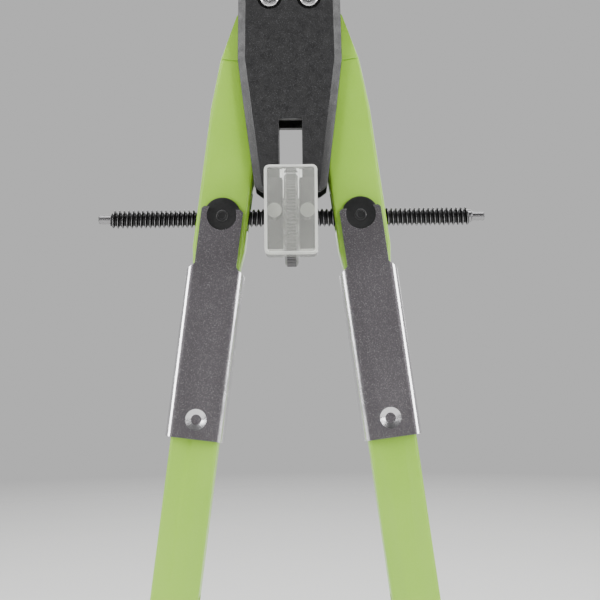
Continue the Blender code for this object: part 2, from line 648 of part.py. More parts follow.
def lever(word, side):
    """A bent sheet with a fork at its top, flanges down its sides and a pressed dish."""
    lean = -side * REST_ANGLE
    at = leg_point(side, in_leg(0, LEVER_HINGE_DOWN, LEVER_HINGE_Y, side))

    def down(distance):
        return LEVER_HINGE_DOWN - distance

    front = -LEVER_OUT - LEVER_HINGE_Y
    back = -LEVER_IN - LEVER_HINGE_Y
    end = LEVER_FLANGE_BACK - LEVER_HINGE_Y
    trough = prism(bent_section(front, end), down(LEVER_BOTTOM_DOWN), THROUGH + down(NUT_DOWN), "Z")
    body = piece("release_lever_" + word, trough, "satin_steel", at, lean)
    combine(body, prism(lever_outline(down), front - OVERCUT, end + OVERCUT), "INTERSECT")
    dish = (0, 0, down(DIMPLE_DOWN))
    floor = back + DIMPLE_DEPTH
    pressed = [(0, back - DIMPLE_ROOT), (DIMPLE_RADIUS, back - DIMPLE_ROOT), (DIMPLE_RADIUS, back),
               (DIMPLE_FLAT_RADIUS + DIMPLE_FLAT_EDGE, floor), (0, floor)]
    join(body, shifted(turned(pressed, "Y"), dish))
    hollow = [(0, front - OVERCUT), (DIMPLE_RADIUS, front - OVERCUT), (DIMPLE_RADIUS, front),
              (DIMPLE_FLAT_RADIUS, front + DIMPLE_DEPTH), (0, front + DIMPLE_DEPTH)]
    fork = rod(FORK_RADIUS, front - OVERCUT, back + OVERCUT)
    cut(body, shifted(fork, (0, 0, down(NUT_DOWN))), shifted(turned(hollow, "Y"), dish),
        rod(LEVER_PIN_RADIUS + RUNNING, -THROUGH, THROUGH, "X"))
    pin = rod(LEVER_PIN_RADIUS - RUNNING, -LEVER_HALF, LEVER_HALF, "X")
    piece("lever_pin_" + word, pin, "steel", at, lean)
    lever_spring("lever_spring_" + word, side, lean)


def lever_spring(name, side, lean):
    """A coil under the dish; it hangs from the lever and its foot has room in the pocket."""
    start = -LEVER_IN + DIMPLE_DEPTH + SEAT + SPRING_WIRE
    end = -LEG_HALF + POCKET_DEPTH - NUT_LIFT - 2 * SEAT - SPRING_WIRE
    count = SPRING_TURNS * SPRING_STEPS
    curve = bpy.data.curves.new(name, "CURVE")
    curve.dimensions = "3D"
    curve.bevel_depth = SPRING_WIRE * MM
    curve.bevel_resolution = 1
    curve.use_fill_caps = True
    spline = curve.splines.new("POLY")
    spline.points.add(count)
    for i, point in enumerate(spline.points):
        angle = math.tau * i / SPRING_STEPS
        y = start + (end - start) * i / count
        point.co = (SPRING_RADIUS * math.cos(angle) * MM, y * MM,
                    SPRING_RADIUS * math.sin(angle) * MM, 1)
    obj = bpy.data.objects.new(name, curve)
    bpy.context.collection.objects.link(obj)
    obj.location = Vector(leg_point(side, in_leg(0, DIMPLE_DOWN, 0, side))) * MM
    obj.rotation_euler.y = lean
    curve.materials.append(material(name, *FINISHES["steel"]))


def leg_point(side, local):
    """Where a point of a leg's own frame lies at rest."""
    turn = Matrix.Rotation(-side * REST_ANGLE, 3, "Y")
    return tuple(Vector((side * PIVOT_X, 0, PIVOT_Z)) + turn @ Vector(local))


# ---- spindle, wheel, guide and guard ------------------------------------------------------


def spindle():
    half = [(THREAD_RADIUS, THREAD_HALF - THREAD_CHAMFER),
            (THREAD_RADIUS - THREAD_CHAMFER, THREAD_HALF), (STUB_RADIUS, THREAD_HALF),
            (STUB_RADIUS, SPINDLE_HALF - STUB_CHAMFER),
            (STUB_RADIUS - STUB_CHAMFER, SPINDLE_HALF), (0, SPINDLE_HALF)]
    profile = [(radius, -x) for radius, x in reversed(half)] + half
    piece("spindle", turned(profile, "X"), "steel", (0, 0, SPINDLE_Z))
    half = [(WHEEL_RADIUS, WHEEL_THICK / 2 - WHEEL_CHAMFER_DEEP),
            (WHEEL_RADIUS - WHEEL_CHAMFER_WIDE, WHEEL_THICK / 2),
            (THREAD_RADIUS + RUNNING, WHEEL_THICK / 2)]
    profile = [(radius, -x) for radius, x in reversed(half)] + half
    wheel = turned(profile, "X", FINE_ROUND, ring=True)
    piece("adjusting_wheel", wheel, "steel", (0, 0, SPINDLE_Z))


def guide():
    """Two bent sheets that slide in the head's slots beside the wheel and carry the spindle."""
    inner = WHEEL_THICK / 2 + LOOSE
    outer = inner + CHEEK_THICK
    wide = GUARD_HALF - FOOT_STEP
    high = CHEEK_WEB_HALF
    deep = FOOT_OUT - FOOT_STEP
    for side, word in ((-1, "left"), (1, "right")):
        web = [(inner, -high), (outer, -high), (outer, high), (inner, high)]
        sheet = piece("guide_cheek_" + word, prism(mirrored(web, side), -deep, deep),
                      "satin_steel", (0, 0, SPINDLE_Z), smooth=False)
        for facing in (-1, 1):
            tall = guard_height(facing) / 2 - FOOT_SHORT
            foot = [(inner, -tall), (wide, -tall), (wide, tall), (inner, tall)]
            join(sheet, prism(mirrored(foot, side), facing * FOOT_IN, facing * FOOT_OUT))
            at, radius = peg_place(facing, side)
            hole = rod(min(radius, SPIGOT_RADIUS) + RUNNING, facing * (FOOT_IN - OVERCUT),
                       facing * (FOOT_OUT + OVERCUT))
            cut(sheet, shifted(hole, at))
        cut(sheet, rod(THREAD_RADIUS + RUNNING, -THROUGH, THROUGH, "X"))
    for facing, end in ((-1, "front"), (1, "rear")):
        guard(facing, end)


def peg_place(facing, side):
    """The front guard is held by pegs, the rear one by thinner dowels in line with the pivots."""
    if facing < 0:
        return (side * PEG_X, 0, 0), PEG_RADIUS
    return (side * PIVOT_X, 0, 0), DOWEL_RADIUS


def guard_height(facing):
    return GUARD_HEIGHT if facing < 0 else REAR_GUARD_HEIGHT


def guard(facing, word):
    """A block over the wheel, with a slot for the wheel and two pegs that hold it to the sheets."""
    back = facing * (FOOT_OUT + SEAT)
    face = facing * GUARD_REACH
    half = GUARD_HALF
    tall = guard_height(facing) / 2
    corner = GUARD_CORNER
    outline = []
    for turn, (x, z) in enumerate(((1, 1), (-1, 1), (-1, -1), (1, -1))):
        centre = (x * (half - corner), z * (tall - corner))
        outline += arc(centre, corner, 90 * turn, 90 * turn + 90, 3)
    bm = prism(outline, back, face)
    rim = [e for e in bm.edges if all(abs(v.co.y - face) < TINY for v in e.verts)]
    bmesh.ops.bevel(bm, geom=rim, offset=GUARD_EDGE, segments=1, profile=0.5, affect="EDGES",
                    material=-1)
    block = piece("guard_" + word, bm, "milky_plastic", (0, 0, SPINDLE_Z))
    slot = GUARD_SLOT_HALF
    cut(block, rod(WHEEL_RADIUS + WHEEL_POCKET, -slot, slot, "X", FINE_ROUND))
    past = tall + OVERCUT
    ends = [(-slot, -past), (slot, -past), (slot, past), (-slot, past)]
    cut(block, prism(ends, back - facing * OVERCUT, back + facing * FOOT_THICK))
    deep = facing * (GUARD_REACH - GUARD_FACE_WALL)
    name, finish = ("guard_peg_", "milky_plastic") if facing < 0 else ("guide_dowel_", "steel")
    for side, end in ((-1, "left"), (1, "right")):
        at, radius = peg_place(facing, side)
        hole = rod(radius + RUNNING, facing * (FOOT_IN - OVERCUT), deep)
        cut(block, shifted(hole, at))
        spigot = min(radius, SPIGOT_RADIUS)
        tip = deep - facing * SEAT
        profile = [(0, facing * FOOT_IN), (spigot, facing * FOOT_IN)]
        if radius > spigot:
            profile += [(spigot, back), (radius, back)]
        profile += [(radius, tip), (0, tip)]
        piece(name + end, turned(profile, "Y"), finish, (at[0], 0, SPINDLE_Z))


# ---- knees and arms -----------------------------------------------------------------------


def arm(name, side, bore):
    """An arm that hangs upright from a knee and ends in a socket for its point."""
    at = (side * KNEE_X, 0, KNEE_Z)
    top = LEG_WIDTH / 2 + ARM_TOP_GAP
    right = [(ARM_HALF_LOW, -ARM_SOCKET_END), (ARM_HALF_LOW, -top - ARM_TAPER_END),
             (ARM_HALF_TOP, -top - ARM_STRAIGHT), (ARM_HALF_TOP, -top)]
    bm = prism(right + [(-x, z) for x, z in reversed(right)], -ARM_THICK / 2, ARM_THICK / 2)
    rims = [e for e in bm.edges if abs(e.verts[0].co.y - e.verts[1].co.y) < TINY]
    bmesh.ops.bevel(bm, geom=rims, offset=ARM_EDGE, segments=1, profile=0.5, affect="EDGES",
                    material=-1)
    body = piece(name, bm, "satin_steel", at)
    tongue = KNEE_SLOT / 2 - SEAT
    root = -top - OVERCUT
    outline = arc((0, 0), ARM_TONGUE_RADIUS, -30, 210, 20)
    outline += [(-ARM_TONGUE_ROOT, root), (ARM_TONGUE_ROOT, root)]
    join(body, prism(outline, -tongue, tongue))
    cut(body, rod(SCREW_RADIUS + RUNNING, -LEG_THICK, LEG_THICK))
    inside = -ARM_SOCKET_END + POINT_INSIDE + POINT_SPARE
    cut(body, rod(bore + RUNNING, inside, -ARM_LENGTH, "Z"))
    hole = rod(CLAMP_SCREW_RADIUS + RUNNING, 0, side * THROUGH, "X")
    cut(body, shifted(hole, (0, 0, -CLAMP_DOWN)))
    clamp_screw(name.replace("arm", "clamp_screw"), side, bore, at)


def clamp_screw(name, side, bore, knee):
    tip = bore + RUNNING
    seat = ARM_HALF_LOW + CLAMP_GAP
    end = seat + CLAMP_HEAD_THICK
    edge = CLAMP_HEAD_EDGE
    head = CLAMP_HEAD_RADIUS
    profile = [(0, tip), (CLAMP_SCREW_RADIUS, tip), (CLAMP_SCREW_RADIUS, seat),
               (CLAMP_BOSS_RADIUS, seat), (head, seat + edge), (head, end - edge),
               (head - edge, end), (0, end)]
    bm = turned([(radius, side * x) for radius, x in profile], "X")
    piece(name, bm, "steel", (knee[0], 0, knee[2] - CLAMP_DOWN))


def points():
    inside = ARM_LENGTH - ARM_SOCKET_END + POINT_INSIDE
    cone, neck, shoulder = NEEDLE_TIP
    needle = [(0, inside), (NEEDLE_RADIUS, inside), (NEEDLE_RADIUS, shoulder), (NEEDLE_NECK, neck),
              (NEEDLE_NECK, cone), (0, 0)]
    piece("needle", turned(needle), "steel", (-KNEE_X, 0, POINT_Z))
    lead = [(0, inside), (LEAD_RADIUS, inside), (LEAD_RADIUS, LEAD_CONE), LEAD_FLAT, (0, 0)]
    piece("lead", turned(lead), "graphite", (KNEE_X, 0, POINT_Z))


def knee(word, side):
    at = (side * KNEE_X, 0, KNEE_Z)
    lean = -side * REST_ANGLE
    seat = -LEG_HALF - SEAT
    face = seat - KNEE_HEAD_THICK
    nut_in = LEG_HALF + SEAT
    tail = nut_in + HEX_THICK + SCREW_PROUD
    edge = KNEE_HEAD_EDGE
    head = KNEE_HEAD_RADIUS
    profile = [(0, face), (head - edge, face), (head, face + edge), (head, seat),
               (SCREW_RADIUS, seat), (SCREW_RADIUS, tail), (0, tail)]
    piece("knee_screw_" + word, turned(profile, "Y"), "steel", at, lean)
    hex_nut("knee_nut_" + word, nut_in, at, lean)


def main():
    for obj in list(bpy.data.objects):
        bpy.data.objects.remove(obj)
    head()
    pivots()
    handle()
    for side, word in ((-1, "left"), (1, "right")):
        leg("leg_" + word, side)
        nut_set(word, side)
        lever(word, side)
        knee(word, side)
    spindle()
    guide()
    arm("needle_arm", -1, NEEDLE_RADIUS)
    arm("lead_arm", 1, LEAD_RADIUS)
    points()


main()
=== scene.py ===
"""The looks of a quick-set bow compass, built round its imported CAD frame."""

import json
import math

import bmesh
import bpy
from mathutils import Matrix, Vector


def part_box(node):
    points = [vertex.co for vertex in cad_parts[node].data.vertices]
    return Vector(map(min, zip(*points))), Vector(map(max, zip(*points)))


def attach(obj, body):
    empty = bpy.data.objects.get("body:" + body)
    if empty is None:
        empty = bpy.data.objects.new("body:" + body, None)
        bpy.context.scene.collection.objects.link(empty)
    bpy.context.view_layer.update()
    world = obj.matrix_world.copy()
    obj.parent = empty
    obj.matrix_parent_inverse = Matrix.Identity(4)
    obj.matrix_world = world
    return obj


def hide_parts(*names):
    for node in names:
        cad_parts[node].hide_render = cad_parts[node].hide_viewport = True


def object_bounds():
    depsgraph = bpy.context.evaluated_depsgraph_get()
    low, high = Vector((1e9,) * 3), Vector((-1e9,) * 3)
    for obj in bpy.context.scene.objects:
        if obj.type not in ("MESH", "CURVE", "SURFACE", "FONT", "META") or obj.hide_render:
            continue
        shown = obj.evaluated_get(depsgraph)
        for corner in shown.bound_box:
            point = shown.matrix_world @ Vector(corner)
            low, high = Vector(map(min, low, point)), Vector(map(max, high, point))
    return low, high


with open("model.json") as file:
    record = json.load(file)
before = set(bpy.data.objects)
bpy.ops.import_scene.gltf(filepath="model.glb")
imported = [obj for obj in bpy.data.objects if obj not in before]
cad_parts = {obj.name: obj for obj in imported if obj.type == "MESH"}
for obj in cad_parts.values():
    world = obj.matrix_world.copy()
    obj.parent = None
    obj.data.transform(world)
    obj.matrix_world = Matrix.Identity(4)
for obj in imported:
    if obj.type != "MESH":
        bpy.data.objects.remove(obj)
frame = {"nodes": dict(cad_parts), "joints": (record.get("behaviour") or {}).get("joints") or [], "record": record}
CAD_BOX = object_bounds()

MM = 0.001
WELD = 2e-6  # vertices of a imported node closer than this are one
FLAT = math.radians(0.4)  # faces that bend less than this are one
JOINTS = {joint["name"]: joint for joint in frame["joints"]}
BODY = {node: body for body, nodes in frame["record"]["behaviour"]["bodies"].items()
        for node in nodes}
PIVOT = Vector(JOINTS["leg_right_swing"]["pos_m"])
NUT = Vector(JOINTS["nut_bush_right_turn"]["pos_m"])
KNEE = Vector(JOINTS["knee_right_bend"]["pos_m"])
SPINDLE = Vector(JOINTS["spindle_turn"]["pos_m"])
LEVER_AXIS = JOINTS["lever_right_press"]["axis"]
LEAN = math.atan2(LEVER_AXIS[2], LEVER_AXIS[0])
POINT_Z = CAD_BOX[0].z
SIDES = ((-1, "left"), (1, "right"))
FLOOR_RADIUS = 0.6
SPIN_STEPS = 64
REAL_EDGE = 32  # degrees; an edge that bends more is an edge of the real piece


# ---- shader maths -------------------------------------------------------------------------


class Value:
    """A shader socket that can stand in a Python expression, on either side of a sign."""

    def __init__(self, finish, socket):
        self.finish = finish
        self.socket = socket

    def _with(self, operation, first, second):
        return self.finish.node("Math", {"operation": operation}, {0: first, 1: second})

    def __add__(self, other):
        return self._with("ADD", self, other)

    def __radd__(self, other):
        return self._with("ADD", other, self)

    def __sub__(self, other):
        return self._with("SUBTRACT", self, other)

    def __rsub__(self, other):
        return self._with("SUBTRACT", other, self)

    def __mul__(self, other):
        return self._with("MULTIPLY", self, other)

    def __rmul__(self, other):
        return self._with("MULTIPLY", other, self)

    def __gt__(self, other):
        return self._with("GREATER_THAN", self, other)

    def __lt__(self, other):
        return self._with("LESS_THAN", self, other)


class Finish:
    """A material under construction."""

    def __init__(self, name, **constants):
        self.material = bpy.data.materials.new(name)
        self.material.use_nodes = True
        self.tree = self.material.node_tree
        self.shader = self.tree.nodes["Principled BSDF"]
        for socket, value in constants.items():
            self.shader.inputs[socket.replace("_", " ")].default_value = value
        self.place = self.node("TexCoord", out="Object")

    def node(self, kind, settings=None, inputs=None, out=0):
        """Any node: its settings first, then the values or links of its sockets."""
        made = self.tree.nodes.new("ShaderNode" + kind)
        for key, value in (settings or {}).items():
            setattr(made, key, value)
        for key, value in (inputs or {}).items():
            if isinstance(value, Value):
                self.tree.links.new(value.socket, made.inputs[key])
            else:
                made.inputs[key].default_value = value
        return Value(self, made.outputs[out])

    def noise(self, scale, detail=2.0, roughness=0.5):
        """Cloudy variation; at a scale of 1000 its spots are about a millimetre."""
        return self.node("TexNoise", None, {"Vector": self.place, "Scale": scale,
                                            "Detail": detail, "Roughness": roughness})

    def cells(self, scale):
        """A number of its own for each grain of a cellular pattern."""
        vary = self.node("TexVoronoi", None, {"Vector": self.place, "Scale": scale}, out="Color")
        return self.node("SeparateColor", None, {0: vary})

    def ramp(self, value, low, high, to_low=0.0, to_high=1.0):
        """Stretch the range from low to high over another range, and clip what lies past it."""
        return self.node("MapRange", None, {"Value": value, "From Min": low, "From Max": high,
                                            "To Min": to_low, "To Max": to_high})

    def mix(self, share, first, second):
        """A colour between two colours."""
        kind = {"data_type": "RGBA"}
        return self.node("Mix", kind, {0: share, 6: first, 7: second}, out=2)

    def feed(self, **values):
        """Link values to the shader's own sockets, and give the material."""
        for socket, value in values.items():
            self.tree.links.new(value.socket, self.shader.inputs[socket.replace("_", " ")])
        return self.material

    def bump(self, height, depth, strength):
        """Raise the surface by a height, its depth in millimetres."""
        normal = self.node("Bump", None, {"Height": height, "Distance": depth * MM,
                                          "Strength": strength})
        self.feed(Normal=normal)


def rgb(red, green, blue):
    """An opaque colour."""
    return (red, green, blue, 1.0)


# ---- finishes -----------------------------------------------------------------------------

DEEP_GREEN = rgb(0.262, 0.52, 0.03)
LIGHT_GREEN = rgb(0.322, 0.59, 0.05)
WORN_GREEN = rgb(0.4, 0.6, 0.14)
CHARCOAL_PIT = rgb(0.006, 0.006, 0.0063)
CHARCOAL_TOP = rgb(0.021, 0.0205, 0.0215)
CHARCOAL_GLINT = rgb(0.14, 0.14, 0.15)
BLASTED_PIT = rgb(0.1, 0.092, 0.1)
BLASTED_TOP = rgb(0.225, 0.21, 0.225)
BLASTED_GLINT = rgb(0.8, 0.78, 0.8)
BLACK_DULL = rgb(0.007, 0.007, 0.0072)
BLACK_RUBBED = rgb(0.014, 0.014, 0.0145)
MILK_THIN = rgb(0.66, 0.67, 0.635)
MILK_THICK = rgb(0.76, 0.77, 0.73)
GRAPHITE_DARK = rgb(0.03, 0.03, 0.034)
GRAPHITE_SHINE = rgb(0.1, 0.1, 0.108)
PALE_COOL = rgb(0.7, 0.7, 0.69)
PALE_WARM = rgb(0.74, 0.74, 0.73)
GLINT_SHARE = 0.93  # one grain in fourteen catches the light


def leg_paint():
    """Satin light green paint with slow drifts of tone and a faint orange peel."""
    paint = Finish("leg_paint", Coat_Weight=0.25, Coat_Roughness=0.22, IOR=1.48)
    drift = paint.ramp(paint.noise(55, 3), 0.35, 0.65)
    grain = paint.ramp(paint.noise(3200, 2, 0.7), 0.35, 0.7)
    colour = paint.mix(drift * 0.55, DEEP_GREEN, LIGHT_GREEN)
    colour = paint.mix(grain * 0.1, colour, WORN_GREEN)
    peel = paint.noise(850, 2, 0.6) * 0.7 + paint.noise(5200, 1) * 0.3
    paint.bump(peel, 0.03, 0.35)
    rough = paint.ramp(paint.noise(420, 3), 0.3, 0.7, 0.33, 0.43)
    return paint.feed(Base_Color=colour, Roughness=rough)


def head_paint():
    """Dark charcoal paint with a fine sandy texture and small glints."""
    paint = Finish("head_paint", IOR=1.5)
    sand = paint.noise(5200, 3, 0.7)
    glint = paint.cells(12000.0) > GLINT_SHARE
    shade = paint.ramp(sand, 0.3, 0.72)
    colour = paint.mix(shade, CHARCOAL_PIT, CHARCOAL_TOP)
    colour = paint.mix(glint * 0.25, colour, CHARCOAL_GLINT)
    paint.bump(sand, 0.05, 0.6)
    rough = paint.ramp(paint.noise(700, 2), 0.3, 0.7, 0.38, 0.52)
    return paint.feed(Base_Color=colour, Roughness=rough)


def polished_steel(name="polished_steel", tone=0.78, rough=0.16):
    """Nickel-plated steel with small scratches and fingermarks."""
    steel = Finish(name, Metallic=1.0)
    marks = steel.ramp(steel.noise(260, 5, 0.65), 0.35, 0.7, rough, rough + 0.14)
    fine = steel.noise(2600, 3, 0.6)
    colour = steel.mix(fine, rgb(tone * 0.88, tone * 0.87, tone * 0.9),
                       rgb(tone, tone * 0.985, tone))
    steel.bump(fine, 0.004, 0.3)
    return steel.feed(Base_Color=colour, Roughness=marks)


def blasted_steel():
    """Bead-blasted steel: a fine grain of glinting and dull pits."""
    steel = Finish("blasted_steel", Metallic=1.0)
    grain = steel.noise(7500, 3, 0.75)
    glint = steel.cells(13000.0) > GLINT_SHARE
    colour = steel.mix(steel.ramp(grain, 0.35, 0.68), BLASTED_PIT, BLASTED_TOP)
    colour = steel.mix(glint * 0.35, colour, BLASTED_GLINT)
    steel.bump(grain, 0.03, 0.55)
    drift = steel.ramp(steel.noise(90, 2), 0.3, 0.7, 0.36, 0.46)
    return steel.feed(Base_Color=colour, Roughness=drift)


def black_plastic():
    """Moulded black plastic, a little shiny where it is handled."""
    plastic = Finish("black_plastic", IOR=1.5)
    grain = plastic.noise(2400, 2, 0.6)
    colour = plastic.mix(plastic.ramp(grain, 0.3, 0.7), BLACK_DULL, BLACK_RUBBED)
    plastic.bump(grain, 0.012, 0.4)
    rough = plastic.ramp(plastic.noise(300, 3), 0.3, 0.7, 0.3, 0.42)
    return plastic.feed(Base_Color=colour, Roughness=rough)


def milky_plastic(name="milky_plastic", clear=0.8, rough=0.12):
    """Cloudy see-through plastic with moulding haze."""
    plastic = Finish(name, Transmission_Weight=clear, IOR=1.12)
    haze = plastic.ramp(plastic.noise(160, 3, 0.6), 0.3, 0.7)
    colour = plastic.mix(haze, MILK_THIN, MILK_THICK)
    plastic.bump(plastic.noise(1500, 2), 0.01, 0.3)
    sheen = plastic.ramp(plastic.noise(500, 3), 0.3, 0.7, rough, rough + 0.06)
    return plastic.feed(Base_Color=colour, Roughness=sheen)


def pencil_lead():
    """Graphite with its soft grey shine."""
    lead = Finish("pencil_lead", Metallic=0.35)
    grain = lead.noise(3000, 3, 0.7)
    colour = lead.mix(grain, GRAPHITE_DARK, GRAPHITE_SHINE)
    lead.bump(grain, 0.02, 0.6)
    return lead.feed(Base_Color=colour, Roughness=lead.ramp(grain, 0.3, 0.7, 0.32, 0.5))


FINISH = {
    "leg_paint": leg_paint(),
    "head_paint": head_paint(),
    "polished_steel": polished_steel(),
    "thread_steel": polished_steel("thread_steel", 0.34, 0.2),
    # a near-black copy of the steel: painted shade for knurl valleys and thread grooves, where self-occlusion
    # darkens them
    "painted_groove_shade": polished_steel("painted_groove_shade", 0.05, 0.34),
    "blasted_steel": blasted_steel(),
    "black_plastic": black_plastic(),
    "milky_plastic": milky_plastic(),
    "milky_rim": milky_plastic("milky_rim", 0.25, 0.3),
    "pencil_lead": pencil_lead(),
}
SLOT_OF = {sub["node"]: sub["material_slot"] for sub in frame["record"]["subparts"]}


# ---- mesh helpers -------------------------------------------------------------------------


def turned(profile, axis="Z", sides=SPIN_STEPS, ring=False):
    """Spin profile points of (radius, height), in millimetres, into a closed solid."""
    bm = bmesh.new()
    verts = [bm.verts.new((radius * MM, 0, height * MM)) for radius, height in profile]
    edges = [bm.edges.new(pair) for pair in zip(verts, verts[1:])]
    if ring:
        edges.append(bm.edges.new((verts[-1], verts[0])))
    bmesh.ops.spin(bm, geom=verts + edges, axis=(0, 0, 1), cent=(0, 0, 0), steps=sides,
                   angle=math.tau, use_merge=True)
    bmesh.ops.remove_doubles(bm, verts=bm.verts, dist=1e-7)
    bmesh.ops.recalc_face_normals(bm, faces=bm.faces)
    return along(bm, axis)


def along(bm, axis):
    """Turn a mesh made about Z so that it lies about another axis."""
    turn = {"X": Matrix.Rotation(math.radians(90), 3, "Y"),
            "Y": Matrix.Rotation(math.radians(-90), 3, "X"), "Z": Matrix.Identity(3)}[axis]
    bmesh.ops.rotate(bm, verts=bm.verts, matrix=turn)
    return bm


def knurled(bm, radius, low, high, count, depth):
    """Press straight grooves into a round solid about Z that has four sides to each ridge."""
    rim = 0.985 * radius * MM
    groove = (radius - depth) / radius
    band = set()
    sunk = set()
    for vert in bm.verts:
        reach = math.hypot(vert.co.x, vert.co.y)
        if reach > rim and low * MM < vert.co.z < high * MM:
            band.add(vert)
            step = round(math.atan2(vert.co.y, vert.co.x) / math.tau * count * 4)
            if step % 4 in (1, 2):
                vert.co.xy *= groove
                sunk.add(vert)
    # faces in the valleys take the second material, painted shade where the ridges shadow them
    for face in bm.faces:
        if band.issuperset(face.verts) and sunk.intersection(face.verts):
            face.material_index = 1
    return bm


def moved(bm, place, turn=0.0):
    """Lean a mesh about Y, then carry it to its place."""
    bmesh.ops.rotate(bm, verts=bm.verts, matrix=Matrix.Rotation(turn, 3, "Y"))
    bmesh.ops.translate(bm, verts=bm.verts, vec=place)
    return bm


def block(width, depth, height, place=(0, 0, 0)):
    """A cutter with square corners, its sizes and place in millimetres."""
    bm = bmesh.new()
    bmesh.ops.create_cube(bm, size=MM)
    bmesh.ops.scale(bm, verts=bm.verts, vec=(width, depth, height))
    bmesh.ops.translate(bm, verts=bm.verts, vec=Vector(place) * MM)
    return bm


def joined(*meshes):
    """Put several meshes into one, without cutting them."""
    whole = bmesh.new()
    for bm in meshes:
        mesh = bpy.data.meshes.new("part")
        bm.to_mesh(mesh)
        bm.free()
        whole.from_mesh(mesh)
        bpy.data.meshes.remove(mesh)
    return whole


def carved(bm, tool, operation="DIFFERENCE"):
    """Cut one mesh with another and give the result."""
    objects = []
    for name, source in (("body", bm), ("tool", tool)):
        mesh = bpy.data.meshes.new(name)
        source.to_mesh(mesh)
        source.free()
        obj = bpy.data.objects.new(name, mesh)
        bpy.context.scene.collection.objects.link(obj)
        objects.append(obj)
    body, cutter = objects
    step = body.modifiers.new("cut", "BOOLEAN")
    step.operation = operation
    step.solver = "EXACT"
    step.object = cutter
    bpy.context.view_layer.update()
    result = bmesh.new()
    result.from_object(body, bpy.context.evaluated_depsgraph_get())
    for obj in objects:
        mesh = obj.data
        bpy.data.objects.remove(obj)
        bpy.data.meshes.remove(mesh)
    return result


def finished(name, bm, node, finish=None, edge=0.0, sharp=REAL_EDGE, also=()):
    """Make a mesh an object that stands for a CAD node and rides on its body."""
    mesh = bpy.data.meshes.new(name)
    bm.to_mesh(mesh)
    bm.free()
    mesh.shade_smooth()
    mesh.set_sharp_from_angle(angle=math.radians(sharp))
    obj = bpy.data.objects.new(name, mesh)
    bpy.context.scene.collection.objects.link(obj)
    if edge:
        bevel = obj.modifiers.new("edge", "BEVEL")
        bevel.width = edge * MM
        bevel.segments = 2
        bevel.limit_method = "ANGLE"
        bevel.angle_limit = math.radians(sharp)
        bevel.harden_normals = True
        bevel.use_clamp_overlap = True
    slot = SLOT_OF[node]
    mesh.materials.append(FINISH[finish or slot])
    for extra in also:
        mesh.materials.append(FINISH[extra])
    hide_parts(node)
    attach(obj, BODY[node])
    return obj


def merged_copy(node):
    """The CAD node's own shape, its loose triangles merged into whole faces."""
    bm = bmesh.new()
    bm.from_mesh(frame["nodes"][node].data)
    bmesh.ops.remove_doubles(bm, verts=bm.verts, dist=WELD)
    bmesh.ops.dissolve_limit(bm, angle_limit=FLAT, verts=bm.verts, edges=bm.edges)
    return bm


def refined(node, name, edge, finish=None, sharp=REAL_EDGE, also=()):
    """A CAD node's own shape with its edges broken, in millimetres, and a better finish."""
    return finished(name, merged_copy(node), node, finish, edge, sharp=sharp, also=also)


# ---- head and handle ----------------------------------------------------------------------


def head():
    """Both plates, the spacer between them and the two slotted screws at the top."""
    refined("head_front_plate", "front_head_shell", 0.12)
    refined("head_rear_plate", "rear_head_shell", 0.12)
    refined("head_spacer", "head_spacer_block", 0.2)
    for _, word in SIDES:
        node = "head_screw_" + word
        low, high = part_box(node)
        centre = (low + high) / 2
        long = (high.y - low.y) / MM
        profile = [(0, 0), (1.15, 0), (1.32, 0.08), (1.4, 0.3), (1.4, 0.7), (0.8, 0.7),
                   (0.8, long), (0, long)]
        slot = block(3.2, 0.7, 0.32)
        cap = moved(carved(turned(profile, "Y", 48), slot), (centre.x, low.y, centre.z))
        finished(f"head_{word}_rivet_screw", cap, node, edge=0.03)


def cross_recess(deep):
    """A cross-shaped cutter whose arms taper towards the bottom."""
    span = 1.9
    thick = 0.42
    taper = 0.55
    arms = []
    for width, height in ((span, thick), (thick, span)):
        arm = block(width, 2 * deep, height)
        bottom = [vert for vert in arm.verts if vert.co.y > 0]
        bmesh.ops.scale(arm, verts=bottom, vec=(taper, 1, taper))
        arms.append(arm)
    return carved(arms[0], arms[1], "UNION")


def pivots():
    """The two cross-headed screws that the legs turn on, with their nuts and washers."""
    for _, word in SIDES:
        node = "pivot_screw_" + word
        low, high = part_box(node)
        centre = (low + high) / 2
        long = (high.y - low.y) / MM
        profile = [(0, 0), (1.25, 0), (1.52, 0.1), (1.68, 0.3), (1.7, 0.45), (1.7, 0.84),
                   (1.25, 0.84), (1.25, long - 0.25), (1.05, long), (0, long)]
        screw = carved(turned(profile, "Y"), cross_recess(0.55))
        moved(screw, (centre.x, low.y, centre.z))
        finished(f"{word}_pivot_cross_screw", screw, node, edge=0.03)
        refined("pivot_nut_" + word, f"{word}_pivot_hex_nut", 0.12)
        for end in ("front", "rear"):
            refined(f"pivot_washer_{end}_{word}", f"{word}_{end}_hub_washer", 0.06)


def handle():
    """The round grip, waisted at its foot, and the stud it is screwed on."""
    low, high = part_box("handle_grip")
    tall = (high.z - low.z) / MM
    count = 40
    wide = 4.0
    hole = 1.55
    profile = [(0, 13.2), (hole, 13.2), (hole, 0), (2.5, 0), (2.75, 0.12), (2.9, 0.4), (2.9, 2.1),
               (3.2, 2.45), (3.65, 2.75), (3.92, 3.1), (wide, 3.5), (wide, 3.7),
               (wide, tall - 2.2), (wide, tall - 1.9), (wide, tall - 1.2), (3.93, tall - 0.8),
               (3.7, tall - 0.35), (3.3, tall - 0.08), (3.0, tall), (0, tall)]
    grip = turned(profile, sides=count * 4)
    knurled(grip, wide, 3.6, tall - 2.0, count, depth=0.26)
    moved(grip, (0, 0, low.z))
    finished("knurled_handle", grip, "handle_grip", sharp=40, also=("painted_groove_shade",))
    refined("handle_stud", "handle_threaded_stud", 0.1)


# ---- legs, nuts and levers ----------------------------------------------------------------


